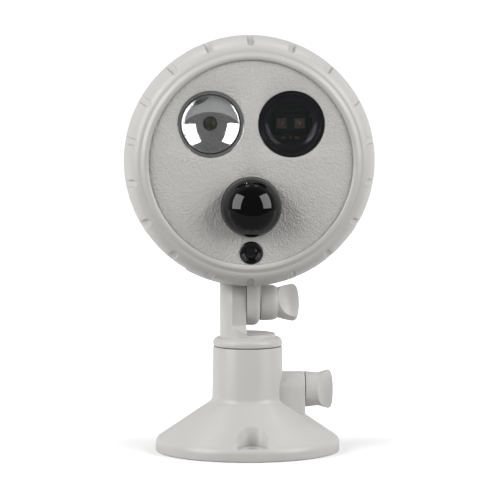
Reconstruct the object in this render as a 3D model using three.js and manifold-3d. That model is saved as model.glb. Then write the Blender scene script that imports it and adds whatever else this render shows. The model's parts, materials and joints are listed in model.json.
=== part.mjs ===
// Battery camera light: a round head that tilts and pans on a screw-down stand.
// Millimetres, +Z up, front towards -Y, +X to the right of someone facing the lamp.
// The origin is the centre of the base underside, on the pan axis.

import * as THREE from 'three';
import { mergeVertices } from 'three/addons/utils/BufferGeometryUtils.js';
import Module from 'manifold-3d';

const wasm = await Module();
wasm.setup();

// ---------------------------------------------------------------- dimensions

const CLEARANCE = 0.3;
const FINE = 48;
const MEDIUM = 32;
const SMALL = 18;
const TINY = 14;

const BASE = {
  rimRadius: 46,
  boreRadius: 14.1,
  ledgeZ: 21,
  seamZ: 52.3,
  pocketCount: 3,
  pocketCentre: 39.4,
  pocketRadius: 7.6,
  pocketWall: 2.4,
  pocketFloorZ: 6.3,
  screwRadius: 2.5,
  screwHeadRadius: 4.1,
  screwCentre: 38.5,
  bossRadius: 9,
  bossEndX: 28.4,
};

const CLAMP = {
  axisZ: 30.4,
  studRadius: 3,
  insertRadius: 4.4,
  insertStartX: 18.3,
  spigotGrooveRadius: 12.3,
};

const SWIVEL = {
  capRadius: 17.3,
  capTopZ: 57.2,
  discRadius: 13.9,
  discTopZ: 58.7,
  spigotRadius: 13.8,
  spigotFootZ: 21,
  earInnerX: -1.2,
  earHalfDepth: 11.2,
  earRootZ: 64.2,
};

const TILT = {
  axisZ: 74.1,
  lugRadius: 11.3,
  lugLeftX: -0.9,
  lugRightX: 5.9,
  studRadius: 2.5,
  studLeftX: -10,
  nutRadius: 4.4,
  knobTurn: 35,
};

const KNOB = {
  dishRadius: 9,
  webHalf: 2.2,
  recessRadius: 7.4,
  recessDepth: 1.3,
};

// Knob outlines as [radius, distance from the seat], from the seat to the domed end.
const PAN_KNOB = {
  boreEnd: 8,
  dishCentre: 14.6,
  length: 14,
  outline: [[9, 0], [8.3, 6.6], [9.2, 9.6], [9.8, 11.6], [9.3, 12.8], [7.2, 13.5], [4, 13.8]],
};

const TILT_KNOB = {
  boreEnd: 9.5,
  dishCentre: 17,
  length: 19.5,
  outline: [
    [9, 0], [8.8, 6.2], [8.4, 7.6], [7.5, 8.6], [8.6, 11.6], [9.5, 14.8],
    [9.7, 16.2], [9.2, 17.6], [7.6, 18.8], [4.4, 19.3],
  ],
};

const WASHER = {
  radius: 7,
  thickness: 1,
};

const HEAD = {
  centreZ: 146.2,
  ringRadius: 62,
  ringWidest: 15,
  ringShoulder: 54.2,
  ringShoulderDepth: 30.3,
  ringBackDepth: 12,
  ringBoreRadius: 56.6,
  lipRadius: 50.3,
  lipDepth: 28.3,
  notchCount: 18,
  notchInner: 57.3,
  notchRadius: 1.75,
  panelRadius: 50,
  panelDepth: 30,
  panelThickness: 2.4,
  skirtRadius: 56.3,
  housingRadius: 54,
  housingBack: 47,
};

const WINDOW = {
  offsetX: 19.8,
  offsetZ: 18.9,
  radius: 16.3,
  thickness: 1.5,
  faceDepth: 29.8,
  ledgeDepth: 27.5,
  flangeRadius: 16.2,
  flangeDepth: 27.8,
  flangeThickness: 0.3,
};

const DOME = {
  radius: 14.8,
  apexDepth: 47,
  offsetZ: -21.8,
};

const LENS = {
  radius: 5.6,
  offsetZ: -44.4,
};

const BOARD = {
  radius: 47.5,
  frontDepth: 7.6,
  thickness: 1.6,
};

const CELL = {
  radius: 13.1,
  length: 46.5,
  pitch: 26.8,
  depth: -29.2,
};

const COLOUR = {
  shell: 0xbdbbb6,
  darkPlastic: 0x151516,
  smoke: 0x1b1b1f,
  steel: 0xb4b7ba,
  brass: 0xc6a55a,
  board: 0x1f5f3a,
  white: 0xe8e8e4,
};

// ---------------------------------------------------------------- solids

// Signed volume of an indexed triangle mesh, positive when the faces look outwards.
function signedVolume(positions, triangles) {
  let sum = 0;
  for (let i = 0; i < triangles.length; i += 3) {
    const [a, b, c] = [0, 1, 2].map((k) => {
      const at = triangles[i + k] * 3;
      return new THREE.Vector3(positions[at], positions[at + 1], positions[at + 2]);
    });
    sum += a.dot(b.cross(c)) / 6;
  }
  return sum;
}

// A closed three.js geometry as a solid that booleans can work on.
function solid(geometry) {
  const bare = geometry.clone();
  bare.deleteAttribute('normal');
  bare.deleteAttribute('uv');
  const welded = mergeVertices(bare, 1e-4);
  const positions = new Float32Array(welded.attributes.position.array);
  const kept = [];
  const index = welded.index.array;
  for (let i = 0; i < index.length; i += 3) {
    const [a, b, c] = [index[i], index[i + 1], index[i + 2]];
    if (a !== b && b !== c && c !== a) kept.push(a, b, c);
  }
  if (signedVolume(positions, kept) < 0) kept.reverse();
  const mesh = new wasm.Mesh({
    numProp: 3,
    vertProperties: positions,
    triVerts: new Uint32Array(kept),
  });
  return new wasm.Manifold(mesh);
}

function union(solids) {
  return solids.reduce((whole, part) => whole.add(part));
}

// Closes a turned profile on itself unless it already starts and ends on the axis.
function closedProfile(points) {
  const list = points.map(([r, h]) => new THREE.Vector2(r, h));
  const first = list[0];
  const last = list[list.length - 1];
  if (first.x > 0 || last.x > 0) list.push(first.clone());
  return list;
}

// Turned about a vertical axis; points are [radius, z].
function turnedUp(points, segments = MEDIUM) {
  const lathe = new THREE.LatheGeometry(closedProfile(points), segments);
  return solid(lathe.rotateX(Math.PI / 2));
}

// Turned about the front-back axis; points are [radius, depth], depth growing to the front.
function turnedFront(points, segments = MEDIUM, x = 0, z = 0) {
  const flipped = points.map(([r, depth]) => [r, -depth]);
  const lathe = new THREE.LatheGeometry(closedProfile(flipped), segments);
  return solid(lathe.translate(x, 0, z));
}

// Turned about the left-right axis; points are [radius, x].
function turnedSide(points, segments = SMALL, z = 0) {
  const lathe = new THREE.LatheGeometry(closedProfile(points), segments);
  return solid(lathe.rotateZ(-Math.PI / 2).translate(0, 0, z));
}

// A plan shape in X and Y raised from z0 to z1.
function prismUp(shape, z0, z1, curveSegments = SMALL) {
  const options = { depth: z1 - z0, bevelEnabled: false, curveSegments };
  return solid(new THREE.ExtrudeGeometry(shape, options).translate(0, 0, z0));
}

// A front-view shape in X and Z running from depth d0 to depth d1.
function prismFront(shape, d0, d1, curveSegments = SMALL) {
  const options = { depth: d1 - d0, bevelEnabled: false, curveSegments };
  const geometry = new THREE.ExtrudeGeometry(shape, options).translate(0, 0, d0);
  return solid(geometry.rotateX(Math.PI / 2));
}

// A side-view shape in Y and Z running from x0 to x1.
function prismSide(shape, x0, x1, curveSegments = SMALL) {
  const options = { depth: x1 - x0, bevelEnabled: false, curveSegments };
  const geometry = new THREE.ExtrudeGeometry(shape, options).translate(0, 0, x0);
  const basis = new THREE.Matrix4().makeBasis(
    new THREE.Vector3(0, 1, 0),
    new THREE.Vector3(0, 0, 1),
    new THREE.Vector3(1, 0, 0),
  );
  return solid(geometry.applyMatrix4(basis));
}

function block(width, depth, height, x, y, z) {
  return solid(new THREE.BoxGeometry(width, depth, height).translate(x, y, z));
}

function polygon(points) {
  return new THREE.Shape(points.map(([a, b]) => new THREE.Vector2(a, b)));
}

// A slot with one round end at (0, centre) and straight sides running on to `reach`.
function slotShape(centre, radius, reach) {
  const way = Math.sign(reach - centre);
  const shape = new THREE.Shape();
  shape.moveTo(radius, reach);
  shape.lineTo(radius, centre);
  shape.absarc(0, centre, radius, 0, way > 0 ? -Math.PI : Math.PI, way > 0);
  shape.lineTo(-radius, reach);
  return shape;
}

// Copies of a solid spaced evenly round the vertical or the front-back axis.
function around(part, count, axis) {
  const copies = [];
  for (let i = 0; i < count; i += 1) {
    const angle = (360 / count) * i;
    copies.push(part.rotate(axis === 'up' ? [0, 0, angle] : [0, angle, 0]));
  }
  return union(copies);
}

// A named mesh made from a solid, with its own material.
function piece(name, body, look) {
  const made = body.getMesh();
  const geometry = new THREE.BufferGeometry();
  geometry.setAttribute('position', new THREE.BufferAttribute(made.vertProperties, 3));
  geometry.setIndex(new THREE.BufferAttribute(made.triVerts, 1));
  geometry.computeVertexNormals();
  const material = new THREE.MeshStandardMaterial(look);
  const mesh = new THREE.Mesh(geometry, material);
  mesh.name = name;
  return mesh;
}

const shellLook = { color: COLOUR.shell, roughness: 0.45, metalness: 0 };
const blackLook = { color: COLOUR.darkPlastic, roughness: 0.4, metalness: 0 };
const steelLook = { color: COLOUR.steel, roughness: 0.35, metalness: 1 };
const brassLook = { color: COLOUR.brass, roughness: 0.35, metalness: 1 };
const boardLook = { color: COLOUR.board, roughness: 0.5, metalness: 0 };
const smokeLook = { color: COLOUR.smoke, roughness: 0.1, metalness: 0 };
const clearLook = { color: COLOUR.white, roughness: 0.05, metalness: 0 };
const rubberLook = { color: COLOUR.darkPlastic, roughness: 0.9, metalness: 0 };

// ---------------------------------------------------------------- stand

function baseOutside() {
  return turnedUp([
    [0, 0],
    [45.2, 0],
    [BASE.rimRadius, 0.8],
    [BASE.rimRadius, 3],
    [45.7, 4.6],
    [44.8, 6.3],
    [43.7, 7.6],
    [42.2, 8.6],
    [19.8, 23.9],
    [18.6, 25.1],
    [17.95, 26.6],
    [17.8, 28.5],
    [17.3, 51.9],
    [16.9, BASE.seamZ],
    [0, BASE.seamZ],
  ], FINE);
}

function baseHollow() {
  const below = -1;
  const above = BASE.seamZ + 5;
  return turnedUp([
    [0, below],
    [43.2, below],
    [42.9, 3.2],
    [40.5, 6.1],
    [18.6, BASE.ledgeZ],
    [BASE.boreRadius, BASE.ledgeZ],
    [BASE.boreRadius, above],
    [0, above],
  ], FINE);
}

// One U-shaped pocket open towards the rim, in front of the stand.
function rimPocket(radius, z0, z1) {
  const outside = BASE.rimRadius + 6;
  return prismUp(slotShape(-BASE.pocketCentre, radius, -outside), z0, z1, TINY);
}

function screwHole() {
  const floor = BASE.pocketFloorZ;
  const sink = BASE.screwHeadRadius - BASE.screwRadius;
  return turnedUp([
    [0, -1],
    [BASE.screwRadius, -1],
    [BASE.screwRadius, floor - sink],
    [BASE.screwHeadRadius, floor],
    [BASE.screwHeadRadius, floor + 1],
    [0, floor + 1],
  ], SMALL).translate([0, -BASE.screwCentre, 0]);
}

// Arched boss that carries the clamp knob on the right of the tube.
function clampBoss() {
  const footZ = 8;
  const arch = prismSide(slotShape(0, BASE.bossRadius, footZ - CLAMP.axisZ), 14.5, BASE.bossEndX);
  return arch.translate([0, 0, CLAMP.axisZ]);
}

function baseStand() {
  const wallRadius = BASE.pocketRadius + BASE.pocketWall;
  const pocketWalls = around(rimPocket(wallRadius, 0, 30), BASE.pocketCount, 'up');
  const pockets = around(
    rimPocket(BASE.pocketRadius, BASE.pocketFloorZ, 30).add(screwHole()),
    BASE.pocketCount,
    'up',
  );
  const studHole = turnedSide([
    [0, 10],
    [CLAMP.studRadius + CLEARANCE, 10],
    [CLAMP.studRadius + CLEARANCE, CLAMP.insertStartX - CLEARANCE],
    [CLAMP.insertRadius + CLEARANCE, CLAMP.insertStartX - CLEARANCE],
    [CLAMP.insertRadius + CLEARANCE, 40],
    [0, 40],
  ], SMALL, CLAMP.axisZ);
  const body = baseOutside()
    .add(clampBoss())
    .subtract(baseHollow().subtract(pocketWalls))
    .subtract(pockets)
    .subtract(studHole);
  return piece('base_stand', body, shellLook);
}

function ringSide(inner, outer, x0, x1, z, segments = SMALL) {
  return turnedSide([[inner, x0], [outer, x0], [outer, x1], [inner, x1]], segments, z);
}

// Plan of the space dished out of a knob in front of its web.
function knobDish(knob) {
  const { dishRadius, webHalf } = KNOB;
  const reach = webHalf + dishRadius + 2;
  const end = knob.length + 2;
  const shape = new THREE.Shape();
  shape.moveTo(end, -reach);
  shape.lineTo(end, -webHalf);
  shape.absarc(knob.dishCentre, -webHalf - dishRadius, dishRadius, Math.PI / 2, Math.PI);
  shape.lineTo(knob.dishCentre - dishRadius, -reach);
  return shape;
}

// Finger knob: a round hub that flares into two lobes, dished on both faces to leave a web.
function knobBody(knob, boreRadius) {
  const { length, outline, boreEnd } = knob;
  const body = turnedSide([
    [boreRadius, KNOB.recessDepth],
    [KNOB.recessRadius, KNOB.recessDepth],
    [KNOB.recessRadius, 0],
    ...outline,
    [0, length],
    [0, boreEnd],
    [boreRadius, boreEnd],
  ], MEDIUM);
  const dish = prismUp(knobDish(knob), -12, 12, TINY);
  return body.subtract(dish).subtract(dish.rotate([180, 0, 0]));
}

function placed(group, x, y, z) {
  group.position.set(x, y, z);
  return group;
}

// Pan clamp: brass insert in the boss, loose washer, knob and its moulded-in stud.
function panClamp() {
  const group = new THREE.Group();
  const bore = CLAMP.studRadius + CLEARANCE;
  const seatX = BASE.bossEndX + CLEARANCE;
  const tipX = CLAMP.spigotGrooveRadius + CLEARANCE;
  const endX = seatX + PAN_KNOB.boreEnd - CLEARANCE;
  const insert = ringSide(bore, CLAMP.insertRadius, CLAMP.insertStartX, BASE.bossEndX - CLEARANCE, 0);
  const washer = ringSide(bore, WASHER.radius, seatX, seatX + WASHER.thickness, 0, MEDIUM);
  const stud = turnedSide([
    [0, tipX],
    [2.2, tipX],
    [CLAMP.studRadius, tipX + 0.9],
    [CLAMP.studRadius, endX],
    [0, endX],
  ]);
  const knob = knobBody(PAN_KNOB, bore).translate([seatX, 0, 0]);
  group.add(
    piece('pan_insert', insert, brassLook),
    piece('pan_washer', washer, steelLook),
    piece('pan_stud', stud, steelLook),
    piece('pan_knob', knob, shellLook),
  );
  return placed(group, 0, 0, CLAMP.axisZ);
}

// ---------------------------------------------------------------- swivel

function swivelCap() {
  return turnedUp([
    [0, 52.6],
    [SWIVEL.capRadius - 0.4, 52.6],
    [SWIVEL.capRadius, 53],
    [SWIVEL.capRadius, 54.4],
    [16.8, 55.9],
    [15.8, 56.8],
    [14.9, SWIVEL.capTopZ],
    [SWIVEL.discRadius, SWIVEL.capTopZ],
    [SWIVEL.discRadius, SWIVEL.discTopZ - 0.4],
    [SWIVEL.discRadius - 0.4, SWIVEL.discTopZ],
    [0, SWIVEL.discTopZ],
  ], FINE);
}

// Hollow spigot that turns in the tube, with the clamp groove and a screw post inside.
function swivelSpigot() {
  const footZ = SWIVEL.spigotFootZ;
  const grooveHalf = 3.8;
  return turnedUp([
    [2.2, footZ],
    [4.6, footZ],
    [4.6, 47],
    [9.6, 47],
    [9.6, footZ],
    [SWIVEL.spigotRadius, footZ],
    [SWIVEL.spigotRadius, CLAMP.axisZ - grooveHalf - 1.5],
    [CLAMP.spigotGrooveRadius, CLAMP.axisZ - grooveHalf],
    [CLAMP.spigotGrooveRadius, CLAMP.axisZ + grooveHalf],
    [SWIVEL.spigotRadius, CLAMP.axisZ + grooveHalf + 1.5],
    [SWIVEL.spigotRadius, 53.5],
    [0, 53.5],
    [0, 36],
    [2.2, 36],
  ], MEDIUM);
}

// Half-round post whose top is flattened front and back into the tilt ear.
function tiltEar() {
  const column = turnedUp([
    [0, 57],
    [SWIVEL.discRadius, 57],
    [SWIVEL.discRadius, 90],
    [0, 90],
  ], FINE);
  const half = SWIVEL.earHalfDepth;
  const rootHalf = SWIVEL.discRadius + 1;
  const outline = new THREE.Shape();
  outline.moveTo(-rootHalf, 56);
  outline.lineTo(rootHalf, 56);
  outline.lineTo(rootHalf, SWIVEL.earRootZ - 1.2);
  outline.lineTo(half, SWIVEL.earRootZ + 1.4);
  outline.lineTo(half, TILT.axisZ);
  outline.absarc(0, TILT.axisZ, half, 0, Math.PI);
  outline.lineTo(-half, SWIVEL.earRootZ + 1.4);
  outline.lineTo(-rootHalf, SWIVEL.earRootZ - 1.2);
  const flat = prismSide(outline, -20, SWIVEL.earInnerX);
  return column.intersect(flat);
}

function swivelPost() {
  const studHole = turnedSide([
    [0, TILT.studLeftX - CLEARANCE],
    [TILT.studRadius + CLEARANCE, TILT.studLeftX - CLEARANCE],
    [TILT.studRadius + CLEARANCE, 5],
    [0, 5],
  ], SMALL, TILT.axisZ);
  const body = union([swivelCap(), swivelSpigot(), tiltEar()]).subtract(studHole);
  return piece('swivel_post', body, shellLook);
}

// Washer and screw under the spigot that keep it from lifting out of the tube.
function swivelRetainer() {
  const top = SWIVEL.spigotFootZ - CLEARANCE;
  const washer = turnedUp([
    [2.1, top - 1.4],
    [16.6, top - 1.4],
    [16.6, top],
    [2.1, top],
  ], MEDIUM);
  const head = top - 1.4 - CLEARANCE;
  const screw = turnedUp([
    [0, head - 1.2],
    [1, head - 1.2],
    [1, head - 2.4],
    [3, head - 2.4],
    [3.8, head - 1.4],
    [3.8, head],
    [1.8, head],
    [1.8, 34],
    [0, 35],
  ], SMALL);
  return [
    piece('swivel_washer', washer, steelLook),
    piece('swivel_screw', screw, steelLook),
  ];
}

// Tilt clamp: stud fixed in the ear, loose washer, and the knob with its brass nut.
function tiltClamp() {
  const group = new THREE.Group();
  const { studRadius, studLeftX, nutRadius } = TILT;
  const seatX = TILT.lugRightX + CLEARANCE;
  const nutX0 = seatX + KNOB.recessDepth + CLEARANCE;
  const nutX1 = seatX + TILT_KNOB.boreEnd - CLEARANCE;
  const bore = studRadius + CLEARANCE;
  const chamfer = 0.7;
  const stud = turnedSide([
    [0, studLeftX],
    [studRadius - chamfer, studLeftX],
    [studRadius, studLeftX + chamfer],
    [studRadius, nutX1 - chamfer],
    [studRadius - chamfer, nutX1],
    [0, nutX1],
  ]);
  const washer = ringSide(bore, WASHER.radius, seatX, seatX + WASHER.thickness, 0, MEDIUM);
  const nut = ringSide(bore, nutRadius, nutX0, nutX1, 0);
  const knob = knobBody(TILT_KNOB, nutRadius + CLEARANCE)
    .rotate([-TILT.knobTurn, 0, 0])
    .translate([seatX, 0, 0]);
  group.add(
    piece('tilt_stud', stud, steelLook),
    piece('tilt_washer', washer, steelLook),
    piece('tilt_nut', nut, brassLook),
    piece('tilt_knob', knob, shellLook),
  );
  return placed(group, 0, 0, TILT.axisZ);
}

// ---------------------------------------------------------------- head shell

// The tilt lug hangs from the housing; its free edge is rounded.
function tiltLug() {
  const drop = TILT.axisZ - HEAD.centreZ;
  const { lugRadius, lugLeftX, lugRightX } = TILT;
  const round = turnedSide([
    [0, lugLeftX],
    [lugRadius, lugLeftX],
    [lugRadius, lugRightX - 3.2],
    [lugRadius - 0.5, lugRightX - 1.5],
    [lugRadius - 1.6, lugRightX - 0.4],
    [lugRadius - 2.6, lugRightX],
    [0, lugRightX],
  ], MEDIUM, drop);
  const stem = block(
    lugRightX - lugLeftX,
    lugRadius * 2 - 2,
    24,
    (lugLeftX + lugRightX) / 2,
    0,
    drop + 12,
  );
  return round.add(stem);
}

function housingOutside() {
  const r = HEAD.housingRadius;
  const back = -HEAD.housingBack;
  return turnedFront([
    [0, back],
    [38, back],
    [46, back + 1.2],
    [50.4, back + 4.2],
    [52.4, back + 8.4],
    [r - 0.4, back + 16],
    [r, 2],
    [60.8, 8.6],
    [60.8, HEAD.ringBackDepth - CLEARANCE],
    [0, HEAD.ringBackDepth - CLEARANCE],
  ], FINE);
}

// The space inside the housing, or that space drawn in by a margin.
function housingHollow(margin = 0) {
  const r = HEAD.housingRadius - 2.4 - margin;
  const back = -HEAD.housingBack + 2.4 + margin;
  return turnedFront([
    [0, back],
    [37 - margin, back],
    [44.5 - margin, back + 1.1],
    [48.6 - margin, back + 3.8],
    [50.4 - margin, back + 7.4],
    [r, back + 14.5],
    [r, 20],
    [0, 20],
  ], FINE);
}

// Band under the flange, beside the lug, that stiffens the neck of the housing.
function neckRib() {
  const ring = turnedFront([
    [53, 8.8],
    [62.7, 8.8],
    [62.7, HEAD.ringBackDepth - CLEARANCE],
    [53, HEAD.ringBackDepth - CLEARANCE],
  ], FINE);
  const half = (30 * Math.PI) / 180;
  const reach = 90;
  const wedge = polygon([
    [0, 0],
    [-reach * Math.sin(half), -reach * Math.cos(half)],
    [reach * Math.sin(half), -reach * Math.cos(half)],
  ]);
  return ring.intersect(prismFront(wedge, 0, 20));
}

function rearHousing() {
  const studHole = turnedSide([
    [0, -10],
    [TILT.studRadius + CLEARANCE, -10],
    [TILT.studRadius + CLEARANCE, 12],
    [0, 12],
  ], SMALL, TILT.axisZ - HEAD.centreZ);
  const body = union([housingOutside(), neckRib(), tiltLug()])
    .subtract(housingHollow())
    .subtract(studHole);
  return piece('rear_housing', body, shellLook);
}

// Ring that locks the front unit to the housing: a beaded lip in front, flutes for the fingers.
function lockRing() {
  const { ringRadius, ringWidest, ringShoulder, ringShoulderDepth, ringBackDepth } = HEAD;
  const { ringBoreRadius, lipRadius, lipDepth, notchInner, notchRadius } = HEAD;
  const profile = [
    [lipRadius, lipDepth],
    [lipRadius, 30.9],
    [50.8, 31.3],
    [51.5, 31.5],
    [52.3, 31.5],
    [53.1, 31.2],
    [53.7, 30.7],
  ];
  const steps = 8;
  for (let i = 0; i <= steps; i += 1) {
    const angle = (Math.PI / 2) * (i / steps);
    profile.push([
      ringShoulder + (ringRadius - ringShoulder) * Math.sin(angle),
      ringWidest + (ringShoulderDepth - ringWidest) * Math.cos(angle),
    ]);
  }
  profile.push(
    [ringRadius, ringBackDepth + 0.8],
    [ringRadius - 0.7, ringBackDepth],
    [ringBoreRadius, ringBackDepth],
    [ringBoreRadius, lipDepth],
  );
  const slot = slotShape(notchInner + notchRadius, notchRadius, ringRadius + 8);
  const core = turnedFront([
    [0, -10],
    [66, -10],
    [66, 6.1],
    [50, 45.6],
    [0, 45.6],
  ], FINE);
  const flutes = around(prismFront(slot, 0, 60, 8), HEAD.notchCount, 'front').subtract(core);
  return piece('lock_ring', turnedFront(profile, FINE).subtract(flutes), shellLook);
}

// ---------------------------------------------------------------- front unit

function disc(radius, d0, d1, x, z, segments = MEDIUM) {
  return turnedFront([[0, d0], [radius, d0], [radius, d1], [0, d1]], segments, x, z);
}

function tube(inner, outer, d0, d1, x, z, segments = MEDIUM) {
  return turnedFront([[inner, d0], [outer, d0], [outer, d1], [inner, d1]], segments, x, z);
}

const BOARD_POSTS = [
  [36, 27],
  [-36, 27],
  [36, -27],
  [-36, -27],
];

const WINDOW_PLACES = [
  [-WINDOW.offsetX, WINDOW.offsetZ],
  [WINDOW.offsetX, WINDOW.offsetZ],
];

// Grained face with a shoulder under the ring's lip and a skirt that plugs into the housing.
function frontPanel() {
  const { panelRadius, skirtRadius } = HEAD;
  const face = HEAD.panelDepth;
  const backFace = face - HEAD.panelThickness;
  const shoulder = HEAD.lipDepth - CLEARANCE;
  const shell = turnedFront([
    [0, face],
    [panelRadius, face],
    [panelRadius, shoulder],
    [skirtRadius, shoulder],
    [skirtRadius, 12.9],
    [51.2, 12.9],
    [51.2, 4.4],
    [49.2, 4.4],
    [49.2, 15.1],
    [53.9, 15.1],
    [53.9, 25.6],
    [48.6, 25.6],
    [47.6, backFace],
    [0, backFace],
  ], FINE);
  const ledge = WINDOW.ledgeDepth;
  const pads = WINDOW_PLACES.map(([x, z]) => disc(WINDOW.radius + 2, 24.4, backFace + 1, x, z));
  const posts = BOARD_POSTS.map(([x, z]) => {
    const boardFront = BOARD.frontDepth + CLEARANCE;
    return disc(3.2, boardFront, backFace + 1, x, z, TINY);
  });
  const seats = WINDOW_PLACES.map(([x, z]) => union([
    disc(WINDOW.radius + CLEARANCE, ledge, face + 4, x, z),
    disc(WINDOW.radius - 1.5, 20, face, x, z),
  ]));
  const threads = BOARD_POSTS.map(([x, z]) => disc(1.5, 0, 17, x, z, TINY));
  const domeHole = disc(DOME.radius + CLEARANCE, 20, face + 4, 0, DOME.offsetZ);
  const lensHole = disc(LENS.radius + CLEARANCE, 20, face + 4, 0, LENS.offsetZ, SMALL);
  const body = union([shell, ...pads, ...posts])
    .subtract(union([...seats, ...threads, domeHole, lensHole]));
  return piece('front_panel', body, shellLook);
}

function sealRing() {
  return piece('housing_seal', tube(52, 55.5, 12, 12.6, 0, 0, FINE), rubberLook);
}

// White light: clear window, cupped reflector, emitter, its board and the heatsink.
function spotlight() {
  const [x, z] = WINDOW_PLACES[0];
  const front = WINDOW.faceDepth;
  const windowBack = front - WINDOW.thickness;
  const pane = disc(WINDOW.radius, windowBack, front, x, z);
  const flangeBack = WINDOW.flangeDepth;
  const flangeFront = flangeBack + WINDOW.flangeThickness;
  const cup = turnedFront([
    [3.6, 20.5],
    [7.2, 21.3],
    [10.8, 23],
    [13, 24.6],
    [14.5, 25.8],
    [14.5, flangeBack],
    [WINDOW.flangeRadius, flangeBack],
    [WINDOW.flangeRadius, flangeFront],
    [14.2, flangeFront],
    [14.2, 26.6],
    [12.6, 25.3],
    [10.5, 23.9],
    [7, 22.3],
    [3.6, 21.4],
  ], MEDIUM, x, z);
  const board = disc(10, 18.6, 19.9, x, z);
  const emitter = turnedFront([
    [0, 20.2],
    [3.2, 20.2],
    [3.2, 21.8],
    [2.6, 22.8],
    [1.4, 23.4],
    [0, 23.6],
  ], SMALL, x, z);
  const fins = [-8, -4, 0, 4, 8].map((step) => block(1.4, 7, 17, x + step, -13, z));
  const sink = union([disc(13, 16.1, 18.3, x, z), ...fins]);
  return [
    piece('spot_window', pane, clearLook),
    piece('spot_reflector', cup, { color: COLOUR.white, roughness: 0.08, metalness: 1 }),
    piece('spot_emitter', emitter, { color: 0xc8b848, roughness: 0.4, metalness: 0 }),
    piece('spot_board', board, { color: COLOUR.white, roughness: 0.5, metalness: 0 }),
    piece('spot_heatsink', sink, { color: 0x8e9092, roughness: 0.5, metalness: 1 }),
  ];
}

// Night light: smoked window, dark cup, small board and its pair of emitters.
function nightLight() {
  const [x, z] = WINDOW_PLACES[1];
  const front = WINDOW.faceDepth;
  const flangeBack = WINDOW.flangeDepth;
  const pane = disc(WINDOW.radius, front - WINDOW.thickness, front, x, z);
  const cup = turnedFront([
    [10.3, 21],
    [11.6, 21],
    [14.5, 25.4],
    [14.5, flangeBack],
    [WINDOW.flangeRadius, flangeBack],
    [WINDOW.flangeRadius, flangeBack + WINDOW.flangeThickness],
    [14.2, flangeBack + WINDOW.flangeThickness],
    [13.2, 26.8],
    [10.3, 22.4],
  ], MEDIUM, x, z);
  const board = disc(11.5, 18.9, 20.5, x, z);
  const emitterX = 4.5;
  const emitter = (side) => block(5, 1.6, 5, x + side * emitterX, -21.6, z);
  const white = { color: COLOUR.white, roughness: 0.4, metalness: 0 };
  return [
    piece('night_window', pane, smokeLook),
    piece('night_cup', cup, blackLook),
    piece('night_board', board, boardLook),
    piece('night_emitter_left', emitter(-1), white),
    piece('night_emitter_right', emitter(1), white),
  ];
}

// Motion sensor: domed lens with a flange behind the panel, and the detector can.
function motionSensor() {
  const z = DOME.offsetZ;
  const seat = HEAD.panelDepth - HEAD.panelThickness - CLEARANCE;
  const outer = [];
  const inner = [];
  const steps = 8;
  const rise = DOME.apexDepth - 32.5;
  for (let i = 0; i <= steps; i += 1) {
    const angle = (Math.PI / 2) * (i / steps);
    const thin = 1.3;
    outer.push([DOME.radius * Math.cos(angle), 32.5 + rise * Math.sin(angle)]);
    inner.unshift([
      (DOME.radius - thin) * Math.cos(angle),
      32.5 + (rise - thin) * Math.sin(angle),
    ]);
  }
  outer[steps][0] = 0;
  inner[0][0] = 0;
  const dome = turnedFront([
    [DOME.radius - 1.3, seat - 1.4],
    [DOME.radius + 1.9, seat - 1.4],
    [DOME.radius + 1.9, seat],
    [DOME.radius, seat],
    ...outer,
    ...inner,
  ], MEDIUM, 0, z);
  const can = union([
    disc(4.6, 21.2, 25.4, 0, z, SMALL),
    disc(5.1, 20.6, 21.4, 0, z, SMALL),
  ]);
  const holder = tube(5.5, 8, 13, 24, 0, z, SMALL).add(disc(8, 13, 20.3, 0, z, SMALL));
  return [
    piece('motion_dome', dome, blackLook),
    piece('motion_detector', can, steelLook),
    piece('motion_holder', holder, { color: COLOUR.white, roughness: 0.6, metalness: 0 }),
  ];
}

// Camera: black trim ring, glass, threaded barrel and the sensor board behind.
function camera() {
  const z = LENS.offsetZ;
  const front = HEAD.panelDepth;
  const trim = turnedFront([
    [3.3, 26.9],
    [LENS.radius, 26.9],
    [LENS.radius, front + 0.2],
    [LENS.radius - 0.5, front + 0.6],
    [LENS.radius - 1.1, front + 0.2],
    [3.5, front - 1.4],
    [3.3, front - 1.4],
  ], SMALL, 0, z);
  const glass = turnedFront([
    [0, 26.9],
    [3, 26.9],
    [3, 27.8],
    [2, 28.2],
    [0, 28.4],
  ], SMALL, 0, z);
  const barrel = disc(3.6, 15.2, 26.6, 0, z, SMALL);
  const mount = block(10, 6, 8.4, 0, -12, z + 1.5);
  return [
    piece('camera_trim', trim, blackLook),
    piece('camera_glass', glass, smokeLook),
    piece('camera_barrel', barrel, blackLook),
    piece('camera_module', mount, blackLook),
  ];
}

// Main board on four posts, its screws, and the slide switch on its back.
function electronics() {
  const { radius, frontDepth, thickness } = BOARD;
  const back = frontDepth - thickness;
  const holes = BOARD_POSTS.map(([x, z]) => disc(1.9, 0, 20, x, z, TINY));
  const board = disc(radius, back, frontDepth, 0, 0, FINE).subtract(union(holes));
  const screws = BOARD_POSTS.map(([x, z], i) => {
    const head = back - CLEARANCE;
    const body = turnedFront([
      [0, head - 0.9],
      [0.8, head - 0.9],
      [0.8, head - 1.8],
      [2, head - 1.8],
      [2.7, head - 1],
      [2.7, head],
      [1.2, head],
      [1.2, 15],
      [0, 16],
    ], TINY, x, z);
    return piece(`board_screw_${i + 1}`, body, steelLook);
  });
  const switchBody = block(13, 3.6, 6.4, 22, -3.9, -36.5)
    .subtract(block(8.2, 3.6, 2.8, 22, -2.3, -36.5));
  const slider = union([
    block(4, 1.5, 2.2, 20.2, -3.05, -36.5),
    block(2.2, 2.8, 2.2, 20.2, -1.4, -36.5),
  ]);
  return [
    piece('main_board', board, boardLook),
    ...screws,
    piece('mode_switch_body', switchBody, steelLook),
    piece('mode_switch_slider', slider, blackLook),
  ];
}

// ---------------------------------------------------------------- batteries

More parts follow.
